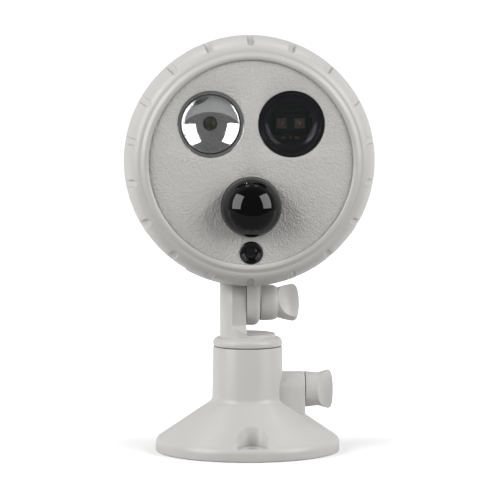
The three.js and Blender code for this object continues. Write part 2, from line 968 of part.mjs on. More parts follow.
function batteries() {
  const { radius, length, pitch, depth } = CELL;
  const cellNames = ['left', 'middle', 'right'];
  const half = length / 2;
  const cells = cellNames.map((name, i) => {
    const body = turnedUp([
      [0, -half],
      [radius - 1.6, -half],
      [radius, -half + 1],
      [radius, half - 3.2],
      [radius - 1.2, half - 2.2],
      [4, half - 2.2],
      [4, half],
      [0, half],
    ], MEDIUM);
    const turned = i === 1 ? body.rotate([180, 0, 0]) : body;
    const at = turned.translate([(i - 1) * pitch, -depth, 0]);
    return piece(`battery_cell_${name}`, at, { color: 0x3d4347, roughness: 0.35, metalness: 0.3 });
  });
  const width = pitch * 3 + 3;
  const floorDepth = depth - radius - CLEARANCE;
  const wallZ = half + 3.2;
  const tray = union([
    block(width, 1.6, 2 * wallZ, 0, -(floorDepth - 0.8), 0),
    ...[-1, 1].map((side) => {
      return block(width - 10, 16, 1.6, 0, -(floorDepth + 7), side * (wallZ - 0.8));
    }),
    ...[-1, 1].map((side) => {
      return block(1.6, 9, 2 * wallZ - 12, side * (width / 2 - 0.8), -(floorDepth + 3.5), 0);
    }),
  ]).intersect(housingHollow(CLEARANCE));
  const contacts = [
    ['upper_left', -pitch / 2, 1, pitch + 12],
    ['upper_right', pitch, 1, 10],
    ['lower_right', pitch / 2, -1, pitch + 12],
    ['lower_left', -pitch, -1, 10],
  ].map(([name, x, side, wide]) => {
    const plate = block(wide, 9, 0.6, x, -depth, side * (half + 0.9));
    return piece(`battery_contact_${name}`, plate, steelLook);
  });
  return [piece('battery_tray', tray, blackLook), ...cells, ...contacts];
}

// ---------------------------------------------------------------- assembly

function head() {
  const group = new THREE.Group();
  group.add(
    rearHousing(),
    lockRing(),
    frontPanel(),
    sealRing(),
    ...spotlight(),
    ...nightLight(),
    ...motionSensor(),
    ...camera(),
    ...electronics(),
    ...batteries(),
  );
  return placed(group, 0, 0, HEAD.centreZ);
}

const part = new THREE.Group();
part.add(baseStand(), panClamp(), swivelPost(), ...swivelRetainer(), tiltClamp(), head());

export default part;
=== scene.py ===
"""Battery camera light on a pan and tilt stand: detailed pieces, materials, light and camera."""

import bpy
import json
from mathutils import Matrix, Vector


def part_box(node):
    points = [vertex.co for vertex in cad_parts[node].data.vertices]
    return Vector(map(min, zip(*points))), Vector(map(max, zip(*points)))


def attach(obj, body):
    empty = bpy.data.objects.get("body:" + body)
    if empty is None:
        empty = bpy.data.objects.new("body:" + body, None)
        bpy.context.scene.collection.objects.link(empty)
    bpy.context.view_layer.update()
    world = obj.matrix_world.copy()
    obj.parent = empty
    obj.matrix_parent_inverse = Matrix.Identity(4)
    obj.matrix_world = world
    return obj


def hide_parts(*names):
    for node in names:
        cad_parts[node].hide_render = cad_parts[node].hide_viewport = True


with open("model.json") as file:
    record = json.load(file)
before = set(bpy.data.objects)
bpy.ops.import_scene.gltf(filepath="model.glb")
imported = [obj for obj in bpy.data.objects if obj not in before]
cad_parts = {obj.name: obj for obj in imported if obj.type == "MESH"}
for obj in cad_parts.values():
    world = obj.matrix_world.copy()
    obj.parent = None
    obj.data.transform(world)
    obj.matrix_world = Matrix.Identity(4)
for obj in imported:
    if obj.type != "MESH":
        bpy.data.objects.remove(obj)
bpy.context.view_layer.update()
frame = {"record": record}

import json
import math

import bmesh
import bpy
from mathutils import Matrix, Vector

MM = 0.001

# ---------------------------------------------------------------- places, from the CAD nodes


def middle(node):
    """The middle of a CAD node's box, in millimetres."""
    low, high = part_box(node)
    return [round((a + b) / 2 / MM, 3) for a, b in zip(low, high)]


def left_end(node):
    """The lowest X of a CAD node, in millimetres."""
    return round(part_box(node)[0][0] / MM, 3)


HEAD_Z = middle("front_panel")[2]
TILT_Z = middle("tilt_stud")[2]
CLAMP_Z = middle("pan_stud")[2]
WINDOW_X = middle("night_window")[0]
WINDOW_Z = middle("night_window")[2]
DOME_Z = middle("motion_dome")[2]
LENS_Z = middle("camera_glass")[2]
PAN_SEAT_X = left_end("pan_knob")
TILT_SEAT_X = left_end("tilt_knob")

# ---------------------------------------------------------------- dimensions, in millimetres

# Depths are measured from the vertical pan axis towards the front.

FLUTES = 18
FLUTE_INNER = 59.05
FLUTE_HALF = 1.75
FLUTE_TOP_R, FLUTE_TOP_D = 57.3, 27.6
FLUTE_END_D = 16.0
SHOULDER_R = 54.2
SHOULDER_D = 30.3
RING_R = 62.0
RING_WIDEST = 15.0
COLUMN_R = 13.9
EAR_RIGHT = -1.2
EAR_TOP_R = 11.15
LUG_R = 11.3
LUG_TOP_Z = 93.4
STUD_BORE_R = 2.8
POCKETS = 3
POCKET_CENTRE = 39.4
POCKET_R = 7.6
POCKET_WALL_R = 10.0
SCREW_CENTRE = 38.5
BASE_REACH = 52.0
FACE_D = 30.0
PANEL_POSTS = ((36, 27), (-36, 27), (36, -27), (-36, -27))
DOME_R, DOME_FOOT_D, DOME_TOP_D = 14.8, 32.5, 47.0
DOME_WALL = 1.3
NIGHT_PITCH = 9.0
TILT_KNOB_TURN = -35

# ---------------------------------------------------------------- mesh tools


def add_object(name, mesh):
    obj = bpy.data.objects.new(name, mesh)
    bpy.context.scene.collection.objects.link(obj)
    return obj


def finished_mesh(name, points, faces, scale=MM):
    """A mesh from points in millimetres, with its faces turned outwards."""
    mesh = bpy.data.meshes.new(name)
    mesh.from_pydata([tuple(c * scale for c in p) for p in points], [], faces)
    work = bmesh.new()
    work.from_mesh(mesh)
    bmesh.ops.remove_doubles(work, verts=work.verts, dist=1e-7)
    bmesh.ops.recalc_face_normals(work, faces=work.faces)
    work.to_mesh(mesh)
    work.free()
    return mesh


def smooth(obj, degrees=32):
    obj.data.shade_smooth()
    obj.data.set_sharp_from_angle(angle=math.radians(degrees))
    return obj


def axis_point(axis, radius, height, angle, centre):
    """A point on a turned surface; height runs up, to the front or to the right."""
    c, s = radius * math.cos(angle), radius * math.sin(angle)
    x, y, z = {"up": (c, s, height), "front": (c, -height, s), "side": (height, c, s)}[axis]
    return (x + centre[0], y + centre[1], z + centre[2])


def soften(points, radius, steps=4, closed=True):
    """Replaces each corner of a profile by a short curve."""
    rounded = []
    count = len(points)
    for i, (x, y) in enumerate(points):
        if x < 1e-6 or (not closed and i in (0, count - 1)):
            rounded.append((x, y))
            continue
        corner = Vector((x, y))
        before = Vector(points[i - 1]) - corner
        after = Vector(points[(i + 1) % count]) - corner
        if before.angle(after) > math.radians(174):
            rounded.append((x, y))
            continue
        cut = min(radius, 0.45 * before.length, 0.45 * after.length)
        start = corner + before.normalized() * cut
        end = corner + after.normalized() * cut
        for k in range(steps + 1):
            t = k / steps
            p = start * (1 - t) ** 2 + corner * 2 * t * (1 - t) + end * t * t
            rounded.append((p.x, p.y))
    return rounded


def turned(name, profile, axis="up", centre=(0, 0, 0), segments=96, angles=None):
    """A body of revolution; the profile is closed unless it starts and ends on the axis."""
    angles = angles or [2 * math.pi * k / segments for k in range(segments)]
    count = len(angles)
    points, rows = [], []
    for radius, height in profile:
        if radius < 1e-6:
            rows.append([len(points)])
            points.append(axis_point(axis, 0, height, 0, centre))
        else:
            rows.append(list(range(len(points), len(points) + count)))
            points += [axis_point(axis, radius, height, a, centre) for a in angles]
    pairs = list(zip(rows, rows[1:]))
    if len(rows[0]) > 1 or len(rows[-1]) > 1:
        pairs.append((rows[-1], rows[0]))
    faces = []
    for low, high in pairs:
        for k in range(count):
            n = (k + 1) % count
            ring = [low[k % len(low)], low[n % len(low)], high[n % len(high)], high[k % len(high)]]
            face = list(dict.fromkeys(ring))
            if len(face) > 2:
                faces.append(face)
    return smooth(add_object(name, finished_mesh(name, points, faces)))


def lofted(name, loops, degrees=32):
    """A capped skin over loops of points that all have the same count."""
    count = len(loops[0])
    points = [p for loop in loops for p in loop]
    faces = [list(range(count)), list(range(len(points) - count, len(points)))]
    for row in range(len(loops) - 1):
        for k in range(count):
            n = (k + 1) % count
            a, b = row * count, (row + 1) * count
            faces.append([a + k, a + n, b + n, b + k])
    return smooth(add_object(name, finished_mesh(name, points, faces)), degrees)


def settle(obj):
    """Applies an object's modifiers to its mesh."""
    graph = bpy.context.evaluated_depsgraph_get()
    mesh = bpy.data.meshes.new_from_object(obj.evaluated_get(graph))
    obj.modifiers.clear()
    obj.data = mesh
    return obj


def mended(work, reach):
    """Closes the hair cracks that cutting can leave, up to a reach in millimetres."""
    def open_edges():
        return [e for e in work.edges if len(e.link_faces) < 2]
    corners = list({v for e in open_edges() for v in e.verts})
    bmesh.ops.remove_doubles(work, verts=corners, dist=reach * MM)
    bmesh.ops.dissolve_degenerate(work, edges=work.edges, dist=1e-6)
    bmesh.ops.holes_fill(work, edges=open_edges(), sides=0)


def combine(target, tools, operation):
    """Joins the tools to the target, or cuts them out of it."""
    for tool in tools:
        step = target.modifiers.new("combine", "BOOLEAN")
        step.operation = operation
        step.object = tool
        step.solver = "EXACT"
        settle(target)
        bpy.data.objects.remove(tool)
    return target


def rounded_edges(obj, width, segments=3, degrees=38, weld=0.03):
    """Welds slivers, then rounds every edge sharper than the given angle."""
    work = bmesh.new()
    work.from_mesh(obj.data)
    bmesh.ops.remove_doubles(work, verts=work.verts, dist=weld * MM)
    bmesh.ops.dissolve_degenerate(work, edges=work.edges, dist=weld * MM * 0.5)
    mended(work, 0.05)
    work.to_mesh(obj.data)
    work.free()
    step = obj.modifiers.new("round", "BEVEL")
    step.width = width * MM
    step.segments = segments
    step.limit_method = "ANGLE"
    step.angle_limit = math.radians(degrees)
    step.use_clamp_overlap = True
    return smooth(settle(obj), 40)


def arch(radius, foot, x, inset=0.0, steps=28):
    """An upright arch in the Y and Z plane at x, drawn in by the inset."""
    r = radius - inset
    loop = [(x, r * math.cos(math.pi * k / steps), r * math.sin(math.pi * k / steps))
            for k in range(steps + 1)]
    return loop + [(x, -r, foot), (x, r, foot)]


def slot_outline(centre, radius, reach, steps=20):
    """A slot in plan with one round end towards the axis, open towards -Y."""
    loop = [(radius * math.cos(math.pi * k / steps), -centre + radius * math.sin(math.pi * k / steps))
            for k in range(steps + 1)]
    return loop + [(-radius, -reach), (radius, -reach)]


def moved(obj, matrix):
    obj.data.transform(matrix)
    return obj


def spun(obj, degrees):
    return moved(obj, Matrix.Rotation(math.radians(degrees), 4, "Z"))


def fit_out(obj, material, body, slot, *nodes):
    """Gives a piece its material, the body it rides on and the nodes it stands for."""
    obj.data.materials.clear()
    obj.data.materials.append(material)
    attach(obj, body)
    if nodes:
        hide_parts(*nodes)
    return obj


# ---------------------------------------------------------------- materials


class Looks:
    """A node material being built round one Principled shader."""

    def __init__(self, name, colour, roughness, metallic=0.0, **sockets):
        self.material = bpy.data.materials.new(name)
        self.material.use_nodes = True
        self.nodes = self.material.node_tree.nodes
        self.links = self.material.node_tree.links
        self.shader = self.nodes["Principled BSDF"]
        self.place = self.nodes.new("ShaderNodeTexCoord").outputs["Object"]
        self.colour = (*colour, 1.0)
        self.shader.inputs["Base Color"].default_value = self.colour
        self.shader.inputs["Roughness"].default_value = roughness
        self.shader.inputs["Metallic"].default_value = metallic
        for socket, value in sockets.items():
            self.shader.inputs[socket.replace("_", " ")].default_value = value
        self.roughness = roughness
        self.height = None

    def noise(self, scale, detail=2.0, roughness=0.5, stretch=None):
        node = self.nodes.new("ShaderNodeTexNoise")
        node.inputs["Scale"].default_value = scale
        node.inputs["Detail"].default_value = detail
        node.inputs["Roughness"].default_value = roughness
        place = self.place
        if stretch:
            mapping = self.nodes.new("ShaderNodeMapping")
            mapping.inputs["Scale"].default_value = stretch
            self.links.new(place, mapping.inputs["Vector"])
            place = mapping.outputs["Vector"]
        self.links.new(place, node.inputs["Vector"])
        return node.outputs["Fac"]

    def cells(self, scale):
        node = self.nodes.new("ShaderNodeTexVoronoi")
        node.feature = "SMOOTH_F1"
        node.inputs["Scale"].default_value = scale
        self.links.new(self.place, node.inputs["Vector"])
        return node.outputs["Distance"]

    def remap(self, value, low, high, start=0.3, end=0.7):
        node = self.nodes.new("ShaderNodeMapRange")
        node.inputs["From Min"].default_value = start
        node.inputs["From Max"].default_value = end
        node.inputs["To Min"].default_value = low
        node.inputs["To Max"].default_value = high
        self.links.new(value, node.inputs["Value"])
        return node.outputs["Result"]

    def tint(self, value, dark, light):
        """Colour that drifts between two multiples of the base colour."""
        node = self.nodes.new("ShaderNodeMix")
        node.data_type = "RGBA"
        node.inputs["A"].default_value = (*[c * dark for c in self.colour[:3]], 1)
        node.inputs["B"].default_value = (*[min(1, c * light) for c in self.colour[:3]], 1)
        self.links.new(self.remap(value, 0, 1), node.inputs["Factor"])
        self.links.new(node.outputs["Result"], self.shader.inputs["Base Color"])
        return self

    def gloss(self, value, spread):
        low, high = max(0.0, self.roughness - spread), self.roughness + spread
        self.links.new(self.remap(value, low, high), self.shader.inputs["Roughness"])
        return self

    def bump(self, value, strength, distance):
        """Adds a layer of relief; distance is in millimetres."""
        node = self.nodes.new("ShaderNodeBump")
        node.inputs["Strength"].default_value = strength
        node.inputs["Distance"].default_value = distance * MM
        self.links.new(value, node.inputs["Height"])
        if self.height:
            self.links.new(self.height, node.inputs["Normal"])
        self.height = node.outputs["Normal"]
        self.links.new(self.height, self.shader.inputs["Normal"])
        return self


SHELL = (0.515, 0.507, 0.49)


def shell_material(name, grain):
    """Light warm grey moulding: satin with a fine spark texture, or pebbled where it is grained."""
    look = Looks(name, SHELL, 0.36 if not grain else 0.46)
    look.tint(look.noise(45, 3), 0.975, 1.02)
    look.gloss(look.noise(130, 4), 0.06)
    look.bump(look.noise(5200, 2), 0.12, 0.02)
    if grain:
        pebbles = look.noise(1150, 2.0, 0.5)
        look.bump(look.remap(pebbles, 0, 1, 0.38, 0.62), 1.0, 0.21)
        look.bump(look.cells(1200), 0.5, 0.10)
    else:
        look.bump(look.noise(60, 2), 0.08, 0.05)
    return look.material


def metal_material(name, colour, roughness):
    look = Looks(name, colour, roughness, 1.0)
    look.tint(look.noise(90, 4), 0.88, 1.05)
    look.gloss(look.noise(700, 3, 0.6), 0.12)
    look.bump(look.noise(1500, 3, 0.6), 0.2, 0.02)
    return look.material


def plastic_material(name, colour, roughness, relief=0.15, scale=2600):
    look = Looks(name, colour, roughness)
    look.tint(look.noise(80, 3), 0.9, 1.1)
    look.gloss(look.noise(200, 4), min(0.06, roughness * 0.4))
    look.bump(look.noise(scale, 2), relief, 0.02)
    return look.material


def dome_material():
    look = Looks("dome_black", (0.0008, 0.0008, 0.001), 0.035, 0.0, Specular_IOR_Level=0.36)
    look.gloss(look.noise(150, 3), 0.012)
    look.bump(look.noise(200, 2), 0.01, 0.02)
    return look.material


def glass_material(name, colour, roughness, ior=1.49):
    look = Looks(name, colour, roughness, 0.0, Transmission_Weight=1.0, IOR=ior)
    look.gloss(look.noise(60, 3), roughness * 0.6)
    look.bump(look.noise(90, 1), 0.02, 0.02)
    return look.material


def board_material(name, colour):
    look = Looks(name, colour, 0.42)
    tracks = look.noise(420, 1, 0.3, (1.0, 1.0, 5.0))
    look.tint(tracks, 0.6, 1.5)
    look.gloss(look.noise(300, 3), 0.08)
    look.bump(look.remap(tracks, 0, 1, 0.47, 0.53), 0.3, 0.04)
    return look.material


def make_materials():
    shell = shell_material("shell_satin", False)
    return {
        "shell": shell,
        "shell_grained": shell_material("shell_pebbled", True),
        "black_plastic": plastic_material("satin_black", (0.012, 0.012, 0.013), 0.32),
        "dome_plastic": dome_material(),
        "clear_window": glass_material("clear_window", (0.985, 0.99, 0.99), 0.004),
        "smoked_window": glass_material("smoked_window", (0.60, 0.60, 0.64), 0.006),
        "lens_glass": glass_material("lens_glass", (0.35, 0.35, 0.42), 0.004, 1.6),
        "mirror_cup": metal_material("mirror_cup", (0.90, 0.90, 0.91), 0.035),
        "steel": metal_material("zinc_steel", (0.56, 0.57, 0.58), 0.34),
        "brass": metal_material("dull_brass", (0.66, 0.48, 0.20), 0.38),
        "sink": metal_material("cast_sink", (0.52, 0.53, 0.54), 0.48),
        "green_board": board_material("green_board", (0.007, 0.050, 0.020)),
        "white_board": plastic_material("white_board", (0.75, 0.75, 0.72), 0.45),
        "emitter_yellow": plastic_material("emitter_yellow", (0.040, 0.034, 0.008), 0.3),
        "emitter_white": plastic_material("emitter_white", (0.20, 0.175, 0.155), 0.4),
        "white_plastic": plastic_material("white_plastic", (0.70, 0.70, 0.68), 0.5),
        "seal_rubber": plastic_material("seal_rubber", (0.015, 0.015, 0.015), 0.7, 0.3),
        "cell_can": metal_material("cell_sleeve", (0.10, 0.105, 0.115), 0.3),
        "black_gloss": plastic_material("gloss_black", (0.004, 0.004, 0.0045), 0.14, 0.05),
        "night_grey": plastic_material("night_grey", (0.035, 0.037, 0.042), 0.22, 0.05),
        "resin": plastic_material("emitter_resin", (0.30, 0.20, 0.15), 0.25),
        "brown_chip": plastic_material("chip_brown", (0.22, 0.12, 0.07), 0.4),
    }


# ---------------------------------------------------------------- stand


def stand_outside():
    cone = [(46, 6.0), (17.85, 25.2)]
    run = [(0, 0)]
    run += soften([(0, 0), (46, 0), (46, 3)], 0.8, 4, closed=False)[1:-1]
    run += soften([(46, 0.9), cone[0], cone[1]], 4.4, 8, closed=False)[1:-1]
    run += soften([cone[0], cone[1], (17.3, 52.3)], 2.2, 6, closed=False)[1:-1]
    run += soften([cone[1], (17.3, 52.3), (14.1, 52.3)], 0.5, 4, closed=False)[1:-1]
    return run + [(0, 52.3)]


def box_piece(name, width, height, d0, d1, x, z):
    """A block seen from the front: width by height, from depth d0 to depth d1."""
    sides = [(-width / 2, -height / 2), (width / 2, -height / 2), (width / 2, height / 2),
             (-width / 2, height / 2)]
    return lofted(name, [[(x + a, -d, z + b) for a, b in sides] for d in (d0, d1)])


def round_cutter(radius, x0, x1, z):
    return turned("cutter", [(0, x0), (radius, x0), (radius, x1), (0, x1)], "side", (0, 0, z), 48)


def stand_piece():
    body = turned("stand_moulding", stand_outside(), segments=192)
    foot = 8 - CLAMP_Z
    ends = [(14.6, 0), (27.8, 0), (28.1, 0.08), (28.3, 0.25), (28.4, 0.55)]
    loops = []
    for x, inset in ends:
        loops.append([(px, py, pz + CLAMP_Z) for px, py, pz in arch(9, foot, x, inset)])
    combine(body, [lofted("boss", loops)], "UNION")
    hollow = turned("hollow", [(0, -3), (43.2, -3), (42.9, 3.2), (40.5, 6.1), (18.6, 21), (14.1, 21),
                               (14.1, 60), (0, 60)], segments=192)
    walls, cutters = [], []
    for turn in [360 / POCKETS * k for k in range(POCKETS)]:
        wall_loop = slot_outline(POCKET_CENTRE, POCKET_WALL_R, BASE_REACH)
        walls.append(spun(lofted("wall", [[(x, y, z) for x, y in wall_loop] for z in (-5, 30)]), turn))
        cut_loop = slot_outline(POCKET_CENTRE, POCKET_R, BASE_REACH)
        cutters.append(spun(lofted("cut", [[(x, y, z) for x, y in cut_loop] for z in (6.3, 40)]), turn))
        hole = [(0, -2), (2.5, -2), (2.5, 4.6), (4.1, 6.25), (4.1, 6.6), (0, 6.6)]
        cutters.append(spun(turned("hole", hole, "up", (0, -SCREW_CENTRE, 0), 40), turn))
    combine(hollow, walls, "DIFFERENCE")
    cutters.append(round_cutter(4.7, 18.0, 40, CLAMP_Z))
    cutters.append(round_cutter(3.3, 8, 30, CLAMP_Z))
    combine(body, [hollow, *cutters], "DIFFERENCE")
    return rounded_edges(body, 0.45)


# ---------------------------------------------------------------- knobs

WEB_HALF = 2.2
DISH_R = 9.0
PAN_KNOB = {
    "bore": 3.3,
    "bore_end": 8.0,
    "dish": 14.6,
    "length": 14.0,
    "outline": [(9, 0), (8.3, 6.6), (9.2, 9.6), (9.75, 11.4), (9.5, 12.5), (8.4, 13.2), (6.2, 13.7),
                (3.2, 13.95)],
}
TILT_KNOB = {
    "bore": 4.7,
    "bore_end": 9.5,
    "dish": 17.0,
    "length": 19.5,
    "outline": [(9, 0), (8.85, 6.0), (8.4, 7.6), (7.5, 8.6), (8.5, 11.6), (9.4, 14.8), (9.7, 16.2),
                (9.4, 17.3), (8.4, 18.3), (6.4, 19.0), (3.2, 19.4)],
}


def dish_cutter(knob, side):
    """The space dished out of one face of a knob, down to its web."""
    reach = WEB_HALF + DISH_R + 3
    end = knob["length"] + 2
    outline = [(end, reach), (end, WEB_HALF)]
    for k in range(33):
        a = math.radians(90 * k / 32)
        outline.append((knob["dish"] - DISH_R * math.sin(a), WEB_HALF + DISH_R * (1 - math.cos(a))))
    outline.append((knob["dish"] - DISH_R, reach))
    return lofted("dish", [[(x, side * y, z) for x, y in outline] for z in (-14, 14)])


def knob_piece(name, knob, seat_x, z, turn):
    """Hub that flares into two lobes, dished front and back for finger and thumb."""
    length, bore, blind = knob["length"], knob["bore"], knob["bore_end"]
    crown = soften(knob["outline"], 0.9, 3, closed=False)
    body = turned(name, [(bore, 1.3), (7.4, 1.3), (7.4, 0.0), *crown, (0, length), (0, blind),
                         (bore, blind)], "side", segments=128)
    combine(body, [dish_cutter(knob, -1), dish_cutter(knob, 1)], "DIFFERENCE")
    rounded_edges(body, 0.45, 3, 30)
    place = Matrix.Translation(Vector((seat_x, 0, z)) * MM)
    return moved(body, place @ Matrix.Rotation(math.radians(turn), 4, "X"))


# ---------------------------------------------------------------- swivel


def ear_depth(x, z):
    """Half depth of the post at x and z: round at its foot, two facets and a ridge above."""
    column = math.sqrt(max(0.0, COLUMN_R ** 2 - x * x))
    ridge_x, ridge, left, right = -8.3, 11.2, 6.6, 10.1
    if x < ridge_x:
        facet = left + (ridge - left) * (x + COLUMN_R) / (ridge_x + COLUMN_R)
    else:
        facet = ridge + (right - ridge) * (x - ridge_x) / (EAR_RIGHT - ridge_x)
    facet += max(0.0, 63.6 - z) * 1.15
    depth = min(column, facet)
    rise = max(0.0, z - TILT_Z) / EAR_TOP_R
    return depth * math.sqrt(max(0.0, 1 - rise * rise))


def ear_piece():
    marks = [-COLUMN_R * math.cos(math.radians(a)) for a in range(0, 85, 4)]
    marks = sorted(set(marks + [-8.3, EAR_RIGHT]))
    levels = [57.5] + [59 + 0.45 * k for k in range(16)] + [67, 69, 71, 73, TILT_Z]
    levels += [TILT_Z + EAR_TOP_R * math.sin(math.radians(a)) for a in range(8, 90, 8)]
    levels.append(TILT_Z + EAR_TOP_R - 0.01)
    loops = []
    for z in levels:
        front = [(x, -ear_depth(x, z), z) for x in marks]
        back = [(x, ear_depth(x, z), z) for x in reversed(marks[1:])]
        loops.append(front + back)
    return lofted("ear", loops, 24)


def swivel_piece():
    cap = soften([(13.8, 52.6), (17.3, 52.6), (17.3, 55.2), (16.2, 56.6), (14.6, 57.1), (13.9, 57.1),
                  (13.9, 58.7), (0, 58.7)], 0.9, 5, closed=False)
    foot = [(0, 36), (2.2, 36), (2.2, 21), (4.6, 21), (4.6, 47), (9.6, 47), (9.6, 21), (13.8, 21),
            (13.8, 25.1), (12.3, 26.6), (12.3, 34.2), (13.8, 35.7)]
    body = turned("swivel_moulding", foot + cap, segments=160)
    combine(body, [ear_piece()], "UNION")
    combine(body, [round_cutter(STUD_BORE_R, -10.3, 5, TILT_Z)], "DIFFERENCE")
    return rounded_edges(body, 0.3, 3, 30)


# ---------------------------------------------------------------- head shell


def lug_piece():
    edge = [(-0.9, 0.35), (-0.8, 0.1), (-0.5, 0), (2.6, 0), (3.7, 0.2), (4.6, 0.7), (5.3, 1.4),
            (5.8, 2.2), (6.05, 3.2)]
    loops = []
    for x, inset in edge:
        r = LUG_R - inset
        loop = [(x, r * math.cos(math.pi * k / 40), TILT_Z - r * math.sin(math.pi * k / 40))
                for k in range(41)]
        loops.append(loop + [(x, -r, LUG_TOP_Z), (x, r, LUG_TOP_Z)])
    return lofted("lug", loops)


def rib_piece():
    """Band under the flange that widens it beside the lug."""
    loops = []
    for k in range(33):
        angle = math.radians(-90 - 30 + 60 * k / 32)
        band = soften([(54, 8.8), (62.7, 8.8), (62.7, 11.7), (54, 11.7)], 0.3, 2)
        loops.append([axis_point("front", r, d, angle, (0, 0, HEAD_Z)) for r, d in band])
    return lofted("rib", loops)


def housing_piece():
    outer = [(0, -47), (40, -47), (50.5, -44.6), (52.6, -36), (54, 1.5), (57.2, 6.6), (60.8, 8.2),
             (60.8, 11.7), (51.6, 11.7)]
    curved = soften(outer, 5.5, 8, closed=False)
    inner = [(51.6, -30.1), (50.4, -37.2), (48.6, -40.8), (44.5, -43.5), (37, -44.6), (0, -44.6)]
    profile = curved + inner
    body = turned("housing_moulding", profile, "front", (0, 0, HEAD_Z), 192)
    combine(body, [lug_piece(), rib_piece()], "UNION")
    combine(body, [round_cutter(STUD_BORE_R, -10, 12, TILT_Z)], "DIFFERENCE")
    return rounded_edges(body, 0.35, 3, 36)


def flute_angles():
    """Columns round the ring, close together where a flute's walls stand."""
    offsets = [0, 0.6, 1.1, 1.4, 1.55, 1.7, 1.85, 2.0, 2.2, 2.6, 3.4, 4.8, 6.6, 8.6]
    offsets = sorted({s * o for o in offsets for s in (-1, 1)})
    sector = 2 * math.pi / FLUTES
    angles = []
    for k in range(FLUTES):
        angles += [math.pi / 2 + k * sector + o / RING_R for o in offsets]
        angles.append(math.pi / 2 + (k + 0.5) * sector)
    return sorted(a % (2 * math.pi) for a in angles)


def smoothstep(value, low, high):
    t = min(1.0, max(0.0, (value - low) / (high - low)))
    return t * t * (3 - 2 * t)


def fluted(radius, depth, angle):
    """Where a point of the ring's outer face goes once the finger flutes are sunk into it."""
    sector = 2 * math.pi / FLUTES
    near = (angle - math.pi / 2 + sector / 2) % sector - sector / 2
    across, along = radius * math.sin(near), radius * math.cos(near)
    if along > FLUTE_INNER:
        edge = abs(across) - FLUTE_HALF
    else:
        edge = math.hypot(across, along - FLUTE_INNER) - FLUTE_HALF
    mask = smoothstep(-edge, -0.22, 0.22)
    floor_slope = (FLUTE_TOP_D - FLUTE_END_D) / (RING_R - FLUTE_TOP_R)
    length = math.hypot(floor_slope, 1)
    above = (depth - (FLUTE_TOP_D - (radius - FLUTE_TOP_R) * floor_slope)) / length
    sink = mask * max(0.0, above)
    return radius - sink * floor_slope / length, depth - sink / length


def ring_piece():
    lip = soften([(56.6, 12.0), (56.6, 28.3), (50.3, 28.3), (50.3, 30.9), (51.4, 31.5), (52.5, 31.5),
                  (53.5, 30.75), (SHOULDER_R, 30.35)], 0.55, 4, closed=False)
    arc = []
    fine = [0.5, 2.5, 5, 8, 11, 14, 17, 20, 23, 25, 26.5, 28, 30, 33, 36, 40, 44, 48, 52, 56, 60, 64,
            68, 72, 76, 80, 84, 87, 90]
    for degree in fine:
        t = math.radians(degree)
        arc.append((SHOULDER_R + (RING_R - SHOULDER_R) * math.sin(t),
                    RING_WIDEST + (SHOULDER_D - RING_WIDEST) * math.cos(t)))
    back = [(62, 13.2), (61.85, 12.6), (61.5, 12.2), (61.0, 12.0)]
    profile = lip + arc + back
    angles = flute_angles()
    count = len(angles)
    points = []
    first_arc, last_arc = len(lip), len(lip) + len(arc)
    for row, (radius, depth) in enumerate(profile):
        for angle in angles:
            r, d = radius, depth
            if first_arc <= row < last_arc:
                r, d = fluted(radius, depth, angle)
            points.append(axis_point("front", r, d, angle, (0, 0, HEAD_Z)))
    faces = []
    for row in range(len(profile)):
        nxt = (row + 1) % len(profile)
        for k in range(count):
            n = (k + 1) % count
            faces.append([row * count + k, row * count + n, nxt * count + n, nxt * count + k])
    return smooth(add_object("lock_ring_moulding", finished_mesh("ring", points, faces)), 60)


def front_cutter(radius, d0, d1, x, z, segments=96):
    return turned("cutter", [(0, d0), (radius, d0), (radius, d1), (0, d1)], "front", (x, 0, z), segments)


def panel_piece():
    profile = [(0, 27.6), (47.6, 27.6), (48.6, 25.6), (53.9, 25.6), (53.9, 15.1), (49.2, 15.1),
               (49.2, 4.4), (51.2, 4.4), (51.2, 12.9), (56.3, 12.9), (56.3, 28.0)]
    edge = [(50.27, 28.0), (50.27, FACE_D - 0.1), (50.2, FACE_D), (0, FACE_D)]
    body = turned("face_moulding", profile + edge, "front", (0, 0, HEAD_Z), 160)
    posts = []
    for x, z in PANEL_POSTS:
        posts.append(turned("post", [(0, 7.9), (3.2, 7.9), (3.2, 28.4), (0, 28.4)], "front",
                            (x, 0, HEAD_Z + z), 32))
    for x in (-WINDOW_X, WINDOW_X):
        posts.append(front_cutter(18.3, 24.4, 28.4, x, WINDOW_Z))
    combine(body, posts, "UNION")
    cutters = []
    for x in (-WINDOW_X, WINDOW_X):
        cutters.append(front_cutter(16.5, 27.5, 34, x, WINDOW_Z))
        cutters.append(front_cutter(14.8, 20, 28.2, x, WINDOW_Z))
    cutters.append(front_cutter(15.0, 20, 34, 0, DOME_Z))
    cutters.append(front_cutter(5.75, 20, 34, 0, LENS_Z, 64))
    combine(body, cutters, "DIFFERENCE")
    return rounded_edges(body, 0.16, 2, 40, 0.01)


# ---------------------------------------------------------------- optics


CUP_CURVE = 21.0
CUP_RIM = 14.3


def cup_depth(radius):
    """Depth of the lamp cup's mirror surface at a radius."""
    return 26.6 - math.sqrt(CUP_CURVE ** 2 - radius ** 2) + math.sqrt(CUP_CURVE ** 2 - CUP_RIM ** 2)


